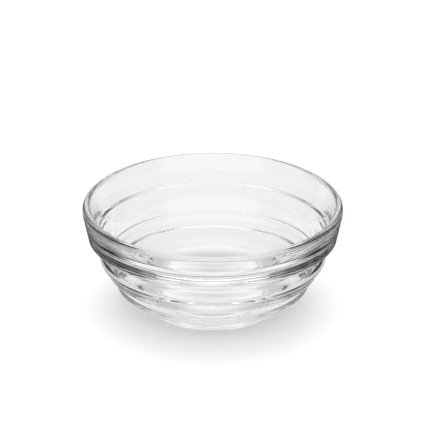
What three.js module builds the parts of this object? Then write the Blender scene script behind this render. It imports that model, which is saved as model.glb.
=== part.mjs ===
// A clear pressed-glass bowl with a stepped outside and softly shouldered inside, all in one solid of revolution.
// Millimetres, +Z up. The origin lies on the axis, in the plane that the foot stands on.

import * as THREE from 'three';

// Driving dimensions, from the rim down to the foot.
// A tier's height runs from its own lower edge to the lower edge of the tier above.
// Its draft is how far it narrows from top to bottom, and its ledge is the step in to the groove under it.
// The undercut is how far that groove lies above the edge.

const RIM_RADIUS = 60;
const LIP_THICKNESS = 3.4;
const LIP_OUTER_ROUND = 2.3;
const LIP_INNER_ROUND = 1.1;
const LIP_LAND = 1.25;

const COLLAR_HEIGHT = 15.3;
const COLLAR_DRAFT = 2.35;
const COLLAR_LEDGE = 2.8;

const UPPER_STEP_HEIGHT = 12.05;
const UPPER_STEP_DRAFT = 2.7;
const UPPER_STEP_LEDGE = 1.45;
const UPPER_STEP_UNDERCUT = 0.3;

const MIDDLE_STEP_HEIGHT = 5.8;
const MIDDLE_STEP_DRAFT = 2.3;
const MIDDLE_STEP_LEDGE = 3.1;

const LOWER_STEP_HEIGHT = 6.05;
const LOWER_STEP_DRAFT = 0.5;

const HEEL_HEIGHT = 9.1;
const FOOT_HEIGHT = 0.7;
const FOOT_RADIUS = 32.4;
const FOOT_DRAFT = 1.4;
const FOOT_RING_WIDTH = 7.9;
const FOOT_RECESS = 0.7;

// The inside: a sloping shoulder lies inward of each of the two upper grooves, and a round joins wall and floor.
// A shoulder's drop is how far its lower corner lies below the groove, and its wall is how far inward that corner lies.
const COLLAR_SHOULDER_WALL = 7;
const COLLAR_SHOULDER_DROP = 3.85;
const COLLAR_SHOULDER_HEIGHT = 5.75;
const STEP_SHOULDER_WALL = 7.2;
const STEP_SHOULDER_DROP = 1.65;
const STEP_SHOULDER_HEIGHT = 2.5;
const SHOULDER_WIDTH = 3.05;
const FLOOR_RADIUS = 37.6;
const FLOOR_THICKNESS = 7.3;

// How far a wall is hollowed from the straight line between its ends. A negative one swells it.
const COLLAR_HOLLOW = 0.8;
const STEP_HOLLOW = 0.4;
const LOWER_HOLLOW = -0.3;
const HEEL_HOLLOW = -0.4;

const COLLAR_EDGE_ROUND = 0.4;
const COLLAR_GROOVE_ROUND = 0.7;
const UPPER_EDGE_ROUND = 1.2;
const UPPER_GROOVE_ROUND = 0.25;
const MIDDLE_EDGE_ROUND = 1.95;
const MIDDLE_GROOVE_ROUND = 0.9;
const LOWER_EDGE_ROUND = 1.75;
const LAND_ROUND = 2;
const FOOT_ROUND = 1.1;
const RING_ROUND = 0.4;
const COLLAR_SHOULDER_ROUND = 0.5;
const STEP_SHOULDER_ROUND = 2;
const HOLLOW_ROUND = 25;
const FLOOR_ROUND = 5;

// How finely the round forms are cut into facets.
const SIDES = 64;
const FACET_ANGLE = THREE.MathUtils.degToRad(30);
const SWEEP_FACET_ANGLE = THREE.MathUtils.degToRad(10);

const CLEAR_GLASS = new THREE.MeshStandardMaterial({
  color: 0xf4f6f8,
  roughness: 0.03,
  metalness: 0,
  transparent: true,
  opacity: 0.35,
});

const corner = (radius, height, round = 0, facetAngle = FACET_ANGLE) => ({
  point: new THREE.Vector2(radius, height),
  round,
  facetAngle,
});

// The tiers of the outside that end in a ledge, from the top one down, each with the groove under its ledge.
const ledgedTiers = [
  {
    height: COLLAR_HEIGHT,
    draft: COLLAR_DRAFT,
    ledge: COLLAR_LEDGE,
    undercut: 0,
    edgeRound: COLLAR_EDGE_ROUND,
    grooveRound: COLLAR_GROOVE_ROUND,
  },
  {
    height: UPPER_STEP_HEIGHT,
    draft: UPPER_STEP_DRAFT,
    ledge: UPPER_STEP_LEDGE,
    undercut: UPPER_STEP_UNDERCUT,
    edgeRound: UPPER_EDGE_ROUND,
    grooveRound: UPPER_GROOVE_ROUND,
  },
  {
    height: MIDDLE_STEP_HEIGHT,
    draft: MIDDLE_STEP_DRAFT,
    ledge: MIDDLE_STEP_LEDGE,
    undercut: 0,
    edgeRound: MIDDLE_EDGE_ROUND,
    grooveRound: MIDDLE_GROOVE_ROUND,
  },
];

const heelTop = FOOT_HEIGHT + HEEL_HEIGHT;
const rimHeight = ledgedTiers.reduce((sum, tier) => sum + tier.height, heelTop + LOWER_STEP_HEIGHT);

// Walks down the outside from the rim: at each ledged tier's foot comes its edge, then the groove inside its ledge.
// The lowest tier ends where the heel begins.
function outsideCorners() {
  const corners = [];
  let radius = RIM_RADIUS;
  let height = rimHeight;
  for (const tier of ledgedTiers) {
    radius -= tier.draft;
    height -= tier.height;
    corners.push(corner(radius, height, tier.edgeRound));
    radius -= tier.ledge;
    corners.push(corner(radius, height + tier.undercut, tier.grooveRound));
  }
  corners.push(corner(radius - LOWER_STEP_DRAFT, heelTop, LOWER_EDGE_ROUND));
  return corners;
}

// The inside's shoulder beside a groove: its upper corner, then its lower one.
function shoulderCorners(groove, wall, drop, height, round) {
  const lower = groove.clone().sub(new THREE.Vector2(wall, drop));
  return [
    corner(lower.x + SHOULDER_WIDTH, lower.y + height, round),
    corner(lower.x, lower.y, round),
  ];
}

// A wide bend halfway along the wall between two corners, moved into the glass by the hollow.
// The section is drawn with the glass on its left.
function hollowCorner(start, end, hollow) {
  const along = end.point.clone().sub(start.point).normalize();
  const middle = start.point.clone().lerp(end.point, 0.5);
  const bend = middle.add(new THREE.Vector2(-along.y, along.x).multiplyScalar(hollow));
  return corner(bend.x, bend.y, HOLLOW_ROUND, SWEEP_FACET_ANGLE);
}

// Half of the bowl's section, from the axis under the foot, up the outside, over the lip and down the inside.
function sectionCorners() {
  const outside = outsideCorners();
  const [, collarGroove, , stepGroove] = outside.map(({ point }) => point);
  const heelEdge = outside.at(-1);
  const footEdge = corner(FOOT_RADIUS + FOOT_DRAFT, FOOT_HEIGHT, FOOT_ROUND);
  const ringInside = FOOT_RADIUS - FOOT_RING_WIDTH;
  const lipInside = corner(RIM_RADIUS - LIP_THICKNESS, rimHeight, LIP_INNER_ROUND);
  const [collarTop, collarFoot] = shoulderCorners(
    collarGroove,
    COLLAR_SHOULDER_WALL,
    COLLAR_SHOULDER_DROP,
    COLLAR_SHOULDER_HEIGHT,
    COLLAR_SHOULDER_ROUND,
  );
  const [stepTop, stepFoot] = shoulderCorners(
    stepGroove,
    STEP_SHOULDER_WALL,
    STEP_SHOULDER_DROP,
    STEP_SHOULDER_HEIGHT,
    STEP_SHOULDER_ROUND,
  );
  const floorHeight = FOOT_RECESS + FLOOR_THICKNESS;
  const floorEdge = corner(FLOOR_RADIUS, floorHeight, FLOOR_ROUND, SWEEP_FACET_ANGLE);

  return [
    corner(0, FOOT_RECESS),
    corner(ringInside - FOOT_RECESS, FOOT_RECESS, RING_ROUND),
    corner(ringInside, 0, RING_ROUND),
    corner(FOOT_RADIUS, 0, FOOT_ROUND),
    footEdge,
    hollowCorner(footEdge, heelEdge, HEEL_HOLLOW),
    ...outside.reverse(),
    corner(RIM_RADIUS, rimHeight - LIP_OUTER_ROUND - LIP_LAND, LAND_ROUND),
    corner(RIM_RADIUS, rimHeight, LIP_OUTER_ROUND),
    lipInside,
    hollowCorner(lipInside, collarTop, COLLAR_HOLLOW),
    collarTop,
    collarFoot,
    hollowCorner(collarFoot, stepTop, STEP_HOLLOW),
    stepTop,
    stepFoot,
    hollowCorner(stepFoot, floorEdge, LOWER_HOLLOW),
    floorEdge,
    corner(0, floorHeight),
  ];
}

// Half the angle between the two sides that meet at a corner.
function halfAngleAt(corners, index) {
  const { point } = corners[index];
  const toBefore = corners[index - 1].point.clone().sub(point);
  const toAfter = corners[index + 1].point.clone().sub(point);
  return toBefore.angleTo(toAfter) / 2;
}

// How far each corner's arc reaches along its sides. Arcs that would overlap on a side shrink to share it.
function arcReaches(corners) {
  const wanted = corners.map(({ round }, index) =>
    (round === 0 ? 0 : round / Math.tan(halfAngleAt(corners, index))));
  const reaches = [...wanted];
  for (let index = 1; index < corners.length; index += 1) {
    const side = corners[index].point.distanceTo(corners[index - 1].point);
    const share = Math.min(1, side / (wanted[index - 1] + wanted[index]));
    reaches[index - 1] = Math.min(reaches[index - 1], wanted[index - 1] * share);
    reaches[index] = Math.min(reaches[index], wanted[index] * share);
  }
  return reaches;
}

// Replaces a corner by an arc that touches both of its sides.
function roundedCorner(corners, index, reach) {
  const { point, facetAngle } = corners[index];
  if (reach === 0) return [point];
  const toBefore = corners[index - 1].point.clone().sub(point).normalize();
  const toAfter = corners[index + 1].point.clone().sub(point).normalize();
  const halfAngle = halfAngleAt(corners, index);
  const bisector = toBefore.clone().add(toAfter).normalize();
  const centre = point.clone().addScaledVector(bisector, reach / Math.cos(halfAngle));
  const arcStart = point.clone().addScaledVector(toBefore, reach).sub(centre);
  const turn = (Math.PI - 2 * halfAngle) * Math.sign(toAfter.cross(toBefore));
  const facets = Math.ceil(Math.abs(turn) / facetAngle);
  const origin = new THREE.Vector2();
  return Array.from({ length: facets + 1 }, (_, step) =>
    arcStart.clone().rotateAround(origin, (turn * step) / facets).add(centre));
}

// Two arcs that meet on a side share one point.
const MERGE_DISTANCE = 1e-4;

function sectionPoints() {
  const corners = sectionCorners();
  const reaches = arcReaches(corners);
  const points = corners.flatMap((_, index) => roundedCorner(corners, index, reaches[index]));
  return points.filter((point, index) =>
    index === 0 || point.distanceTo(points[index - 1]) > MERGE_DISTANCE);
}

// The lathe turns the section round Y, so the solid is then stood up on +Z.
const bowlGeometry = new THREE.LatheGeometry(sectionPoints(), SIDES).rotateX(Math.PI / 2);

const bowl = new THREE.Mesh(bowlGeometry, CLEAR_GLASS);
bowl.name = 'bowl';

const glassBowl = new THREE.Group();
glassBowl.add(bowl);

export default glassBowl;
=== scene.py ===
"""A clear pressed-glass bowl on a pale floor, in soft studio light."""

import math

import bpy
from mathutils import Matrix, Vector


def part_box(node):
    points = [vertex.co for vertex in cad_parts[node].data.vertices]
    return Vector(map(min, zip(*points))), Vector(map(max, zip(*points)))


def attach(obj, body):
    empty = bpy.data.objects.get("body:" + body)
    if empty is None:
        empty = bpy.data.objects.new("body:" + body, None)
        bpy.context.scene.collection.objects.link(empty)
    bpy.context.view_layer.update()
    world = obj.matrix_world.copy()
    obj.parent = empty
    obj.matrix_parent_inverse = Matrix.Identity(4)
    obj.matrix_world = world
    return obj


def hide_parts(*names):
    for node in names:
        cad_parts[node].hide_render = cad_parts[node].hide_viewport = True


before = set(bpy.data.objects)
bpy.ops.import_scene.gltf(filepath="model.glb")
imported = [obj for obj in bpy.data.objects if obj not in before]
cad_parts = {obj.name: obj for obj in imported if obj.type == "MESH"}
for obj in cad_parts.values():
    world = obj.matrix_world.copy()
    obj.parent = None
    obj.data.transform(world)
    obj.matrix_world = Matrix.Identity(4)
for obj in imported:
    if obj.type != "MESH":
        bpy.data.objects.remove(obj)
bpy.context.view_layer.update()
scene = bpy.context.scene
scene.view_settings.view_transform = "Standard"


# Bowl
# One gob of clear glass, pressed between a stepped mould and a plunger, then fire-polished.
# It is a single piece: a rounded lip, a collar, three smaller steps, a flared heel and a ring foot.

MM = 0.001
bowl_low, bowl_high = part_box("bowl")
rim_radius = (bowl_high.x - bowl_low.x) / 2 / MM
rim_height = bowl_high.z / MM
lip_thickness = 3.4
wave_depth = 0.004

# The section in millimetres, as corners of (radius, height, round).
# It runs from the middle of the underside, out and up, over the lip and down to the floor inside.
underside = [
    (0, 0.7, 0),
    (23.8, 0.7, 0.4),
    (24.5, 0, 0.4),
    (32.4, 0, 1.1),
    (33.8, 0.7, 1.1),
]
heel = [
    (39.55, 4.95, 25),
    (44.8, 9.8, 1.75),
]
lower_steps = [
    (45.3, 15.85, 0.9),
    (48.4, 15.85, 1.95),
]
upper_step = [
    (50.7, 21.95, 0.25),
    (52.15, 21.65, 1.2),
]
collar = [
    (54.85, 33.7, 0.7),
    (57.65, 33.7, 0.4),
    (rim_radius, rim_height - 3.55, 2),
]
lip = [
    (rim_radius, rim_height, 2.3),
    (rim_radius - lip_thickness, rim_height, 1.1),
]
inside = [
    (54.5, 42, 25),
    (50.9, 35.6, 0.5),
    (47.85, 29.85, 5),
    (47.6, 26.25, 20),
    (46.55, 22.8, 4),
    (43.5, 20.3, 4),
    (40.3, 14.3, 25),
    (37.6, 8, 5),
    (0, 8, 0),
]


def rounded(corners, arc_step):
    """Swaps each corner for an arc that touches its two sides, as (point, outward normal) pairs."""
    path = []
    points = [Vector(corner[:2]) for corner in corners]
    for index, (point, corner) in enumerate(zip(points, corners)):
        if index in (0, len(points) - 1):
            path.append((point, Vector((0, -1 if index == 0 else 1))))
            continue
        back = (points[index - 1] - point).normalized()
        ahead = (points[index + 1] - point).normalized()
        half = back.angle(ahead) / 2
        reach = corner[2] / math.tan(half)
        turn = math.pi - 2 * half
        side = 1 if back.cross(ahead) < 0 else -1
        centre = point + (back + ahead).normalized() * corner[2] / math.sin(half)
        spoke = point + back * reach - centre
        steps = max(2, math.ceil(turn / arc_step))
        for step in range(steps + 1):
            angle = side * turn * step / steps
            arm = Vector((
                spoke.x * math.cos(angle) - spoke.y * math.sin(angle),
                spoke.x * math.sin(angle) + spoke.y * math.cos(angle),
            ))
            path.append((centre + arm, arm.normalized() * side))
    return path


def wave(angle, along):
    """How deep fire-polishing has sunk the skin, at an angle and a way along the section."""
    broad = math.sin(7 * angle + 0.11 * along)
    narrow = math.sin(13 * angle - 0.19 * along + 2)
    return wave_depth * (2 + broad + narrow)


def turned(name, path, sides):
    """Turns a section round the upright axis into a closed, waved mesh with true normals."""
    verts, normals, rings, faces = [], [], [], []
    along = 0
    nudge = 0.01
    up = Vector((0, 0, 1))
    for index, (point, normal) in enumerate(path):
        along += (point - path[max(index - 1, 0)][0]).length
        copies = 1 if point.x == 0 else sides
        rings.append([len(verts) + copy % copies for copy in range(sides)])
        for copy in range(copies):
            angle = 2 * math.pi * copy / sides
            across = Vector((math.cos(angle), math.sin(angle), 0))
            around = up.cross(across)
            facing = across * normal.x + up * normal.y
            ahead = up * normal.x - across * normal.y
            place = across * point.x + up * point.y
            if copies > 1:
                turn_rise = wave(angle + nudge, along) - wave(angle - nudge, along)
                path_rise = wave(angle, along + nudge) - wave(angle, along - nudge)
                turn_slope = turn_rise / (2 * nudge * point.x)
                path_slope = path_rise / (2 * nudge)
                place -= facing * wave(angle, along)
                facing = (facing + around * turn_slope + ahead * path_slope).normalized()
            verts.append(place * MM)
            normals.append(facing)
    for lower, upper in zip(rings, rings[1:]):
        for here in range(sides):
            there = (here + 1) % sides
            loop = [lower[here], lower[there], upper[there], upper[here]]
            faces.append(list(dict.fromkeys(loop)))
    mesh = bpy.data.meshes.new(name)
    mesh.from_pydata(verts, [], faces)
    mesh.shade_smooth()
    mesh.normals_split_custom_set_from_vertices(normals)
    made = bpy.data.objects.new(name, mesh)
    scene.collection.objects.link(made)
    return made


section = underside + heel + lower_steps + upper_step + collar + lip + inside
smooth_section = rounded(section, arc_step=math.radians(9))
glass_bowl = turned("glass_bowl", smooth_section, sides=360)

clear_glass = bpy.data.materials.new("clear_glass")
clear_glass.use_nodes = True
glass = clear_glass.node_tree.nodes["Principled BSDF"]
glass.inputs["Base Color"].default_value = (0.985, 0.987, 1.0, 1)
glass.inputs["Transmission Weight"].default_value = 1
glass.inputs["IOR"].default_value = 1.5

# The ring that the bowl stands on is worn dull in patches, and the rest stays clear.
nodes, links = clear_glass.node_tree.nodes, clear_glass.node_tree.links
where = nodes.new("ShaderNodeTexCoord")
height = nodes.new("ShaderNodeSeparateXYZ")
near_floor = nodes.new("ShaderNodeMapRange")
near_floor.inputs["From Min"].default_value = 0.0001
near_floor.inputs["From Max"].default_value = 0.0003
near_floor.inputs["To Min"].default_value = 0.3
near_floor.inputs["To Max"].default_value = 0
rubbing = nodes.new("ShaderNodeTexNoise")
rubbing.inputs["Scale"].default_value = 700
rubbing.inputs["Detail"].default_value = 4
worn = nodes.new("ShaderNodeMapRange")
worn.inputs["From Min"].default_value = 0.45
worn.inputs["From Max"].default_value = 0.7
links.new(where.outputs["Object"], height.inputs["Vector"])
links.new(where.outputs["Object"], rubbing.inputs["Vector"])
links.new(height.outputs["Z"], near_floor.inputs["Value"])
links.new(rubbing.outputs["Fac"], worn.inputs["Value"])
links.new(near_floor.outputs["Result"], worn.inputs["To Max"])
links.new(worn.outputs["Result"], glass.inputs["Roughness"])

# The mould's skin left a faint ripple, a few millimetres from crest to crest.
ripple = nodes.new("ShaderNodeTexNoise")
ripple.inputs["Scale"].default_value = 250
ripple.inputs["Detail"].default_value = 0
skin = nodes.new("ShaderNodeBump")
skin.inputs["Strength"].default_value = 1
skin.inputs["Distance"].default_value = 0.000002
links.new(where.outputs["Object"], ripple.inputs["Vector"])
links.new(ripple.outputs["Fac"], skin.inputs["Height"])
links.new(skin.outputs["Normal"], glass.inputs["Normal"])
glass_bowl.data.materials.append(clear_glass)

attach(glass_bowl, "root")
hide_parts("bowl")


# Floor
# A wide sheet of matt white board, lit up to white, which keeps the bowl's shadow.
# Where glass shows it, it is darker and glows by itself, with painted light and painted shadow
# in rings round the bowl's middle, standing in for the light that the bowl gathers.

def stage_plane(name, corners):
    """Adds one flat sheet to the stage."""
    mesh = bpy.data.meshes.new(name)
    mesh.from_pydata(corners, [], [range(len(corners))])
    made = bpy.data.objects.new(name, mesh)
    scene.collection.objects.link(made)
    return made


floor_half = 4
floor = stage_plane("floor", [
    (-floor_half, -floor_half, 0),
    (floor_half, -floor_half, 0),
    (floor_half, floor_half, 0),
    (-floor_half, floor_half, 0),
])
white_board = bpy.data.materials.new("white_board")
white_board.use_nodes = True
nodes, links = white_board.node_tree.nodes, white_board.node_tree.links
board = nodes["Principled BSDF"]
board.inputs["Roughness"].default_value = 1
board.inputs["Specular IOR Level"].default_value = 0
path_kind = nodes.new("ShaderNodeLightPath")
board_tone = nodes.new("ShaderNodeMapRange")
board_tone.inputs["To Min"].default_value = 0.16
board_tone.inputs["To Max"].default_value = 0.76
# An even glow for the camera, and for all other rays the painted light and shadow set below.
board_lift_and_painted_glow = nodes.new("ShaderNodeMapRange")
board_lift_and_painted_glow.inputs["To Max"].default_value = 0.18
board.inputs["Emission Color"].default_value = (1, 1, 1, 1)

# Painted light and shadow, standing in for the light that the bowl gathers under it, by the
# distance
# from its middle as a share of the rim: painted light inside the foot, a painted shadow under its
# ring, and in between further out.
spot = nodes.new("ShaderNodeTexCoord")
distance = nodes.new("ShaderNodeVectorMath")
distance.operation = "LENGTH"
share = nodes.new("ShaderNodeMapRange")
share.inputs["From Max"].default_value = rim_radius * MM
painted_light_and_shadow = nodes.new("ShaderNodeValToRGB")
stops = painted_light_and_shadow.color_ramp.elements
for place, tone in ((0.05, 0.68), (0.36, 0.97), (0.47, 0.5), (0.57, 0.5), (0.72, 0.7)):
    stop = stops.new(place)
    stop.color = (tone, tone, tone, 1)
stops.remove(stops[0])
stops.remove(stops[-1])
links.new(spot.outputs["Object"], distance.inputs["Vector"])
links.new(distance.outputs["Value"], share.inputs["Value"])
links.new(share.outputs["Result"], painted_light_and_shadow.inputs["Fac"])
links.new(painted_light_and_shadow.outputs["Color"], board_lift_and_painted_glow.inputs["To Min"])
links.new(path_kind.outputs["Is Camera Ray"], board_tone.inputs["Value"])
links.new(path_kind.outputs["Is Camera Ray"], board_lift_and_painted_glow.inputs["Value"])
links.new(board_tone.outputs["Result"], board.inputs["Base Color"])
links.new(board_lift_and_painted_glow.outputs["Result"], board.inputs["Emission Strength"])
floor.data.materials.append(white_board)


# Studio
# A round softbox overhead and a little behind lights the floor, and the glass doesn't show it.
# A black card stands close at each side, where only reflections show it.
# In the glass, the room is pale low down, dark at half height and bright overhead.

softbox_lamp = bpy.data.lights.new("softbox", "AREA")
softbox_lamp.shape = "DISK"
softbox_lamp.size = 1.2
softbox_lamp.energy = 4.6
softbox = bpy.data.objects.new("softbox", softbox_lamp)
softbox.location = (0, 0.41, 1)
softbox.rotation_euler = (math.atan2(-softbox.location.y, softbox.location.z), 0, 0)
softbox.visible_camera = False
softbox.visible_glossy = False
softbox.visible_transmission = False
scene.collection.objects.link(softbox)

# The cards fade out towards their front and back ends, so that no upright edge shows.
card_gap = 0.071
card_front = -0.045
card_back = 0.1
card_height = 0.14
card_fade = 0.02
black_card = bpy.data.materials.new("black_card")
black_card.use_nodes = True
card_face = black_card.node_tree.nodes["Principled BSDF"]
card_face.inputs["Base Color"].default_value = (0.01, 0.01, 0.01, 1)
card_face.inputs["Specular IOR Level"].default_value = 0
nodes, links = black_card.node_tree.nodes, black_card.node_tree.links
path_kind = nodes.new("ShaderNodeLightPath")
unseen = nodes.new("ShaderNodeBsdfTransparent")
where = nodes.new("ShaderNodeTexCoord")
reach = nodes.new("ShaderNodeSeparateXYZ")
back_fade = nodes.new("ShaderNodeMapRange")
back_fade.inputs["From Min"].default_value = card_back
back_fade.inputs["From Max"].default_value = card_back - card_fade
front_fade = nodes.new("ShaderNodeMapRange")
front_fade.inputs["From Min"].default_value = card_front
front_fade.inputs["From Max"].default_value = card_front + card_fade
in_reflections = nodes.new("ShaderNodeMapRange")
mirrored = nodes.new("ShaderNodeMixShader")
links.new(where.outputs["Object"], reach.inputs["Vector"])
links.new(reach.outputs["Y"], back_fade.inputs["Value"])
links.new(reach.outputs["Y"], front_fade.inputs["Value"])
links.new(back_fade.outputs["Result"], front_fade.inputs["To Max"])
links.new(front_fade.outputs["Result"], in_reflections.inputs["To Max"])
links.new(path_kind.outputs["Glossy Depth"], in_reflections.inputs["Value"])
links.new(in_reflections.outputs["Result"], mirrored.inputs["Fac"])
links.new(unseen.outputs["BSDF"], mirrored.inputs[1])
links.new(card_face.outputs["BSDF"], mirrored.inputs[2])
links.new(mirrored.outputs["Shader"], nodes["Material Output"].inputs["Surface"])
for side_name, side in (("left", -1), ("right", 1)):
    card = stage_plane(f"black_card_{side_name}", [
        (side * card_gap, card_front, 0),
        (side * card_gap, card_back, 0),
        (side * card_gap, card_back, card_height),
        (side * card_gap, card_front, card_height),
    ])
    card.data.materials.append(black_card)
    card.visible_camera = False
    card.visible_diffuse = False
    card.visible_shadow = False

# Steepness is the sine of the angle above the horizon. The floor is lit by an even room instead.
room = bpy.data.worlds.new("studio_room")
scene.world = room
room.use_nodes = True
nodes, links = room.node_tree.nodes, room.node_tree.links
nodes["Background"].inputs["Color"].default_value = (1, 1, 1, 1)
heading = nodes.new("ShaderNodeTexCoord")
steepness = nodes.new("ShaderNodeSeparateXYZ")
gallery = nodes.new("ShaderNodeMapRange")
gallery.inputs["From Min"].default_value = 0.36
gallery.inputs["From Max"].default_value = 0.42
gallery.inputs["To Min"].default_value = 0.7
gallery.inputs["To Max"].default_value = 0.1
ceiling = nodes.new("ShaderNodeMapRange")
ceiling.inputs["From Min"].default_value = 0.62
ceiling.inputs["From Max"].default_value = 0.96
ceiling.inputs["To Max"].default_value = 1.6
path_kind = nodes.new("ShaderNodeLightPath")
level = nodes.new("ShaderNodeMapRange")
level.inputs["To Max"].default_value = 1.3
links.new(heading.outputs["Generated"], steepness.inputs["Vector"])
links.new(steepness.outputs["Z"], gallery.inputs["Value"])
links.new(steepness.outputs["Z"], ceiling.inputs["Value"])
links.new(gallery.outputs["Result"], ceiling.inputs["To Min"])
links.new(ceiling.outputs["Result"], level.inputs["To Min"])
links.new(path_kind.outputs["Is Diffuse Ray"], level.inputs["Value"])
links.new(level.outputs["Result"], nodes["Background"].inputs["Strength"])

# Light crosses many faces of the glass before it leaves.
scene.cycles.max_bounces = 24
scene.cycles.glossy_bounces = 24
scene.cycles.transmission_bounces = 24


# Camera
# It looks down at the bowl from well back, through a long lens.
# The lens is given as its focal length in pixels of the picture's width.

view_elevation = math.radians(24.72)
view_distance = 1.6
aim = Vector((-0.575, 0, 44.85)) * MM
lens_pixels = 3475
frame_pixels = 423
to_camera = Vector((0, -math.cos(view_elevation), math.sin(view_elevation)))
camera_data = bpy.data.cameras.new("camera")
camera_data.sensor_width = 36
camera_data.lens = camera_data.sensor_width * lens_pixels / frame_pixels
camera_data.clip_start = 0.01
camera = bpy.data.objects.new("camera", camera_data)
camera.location = aim + to_camera * view_distance
camera.rotation_euler = (-to_camera).to_track_quat("-Z", "Y").to_euler()
scene.collection.objects.link(camera)
scene.camera = camera


bpy.context.view_layer.update()
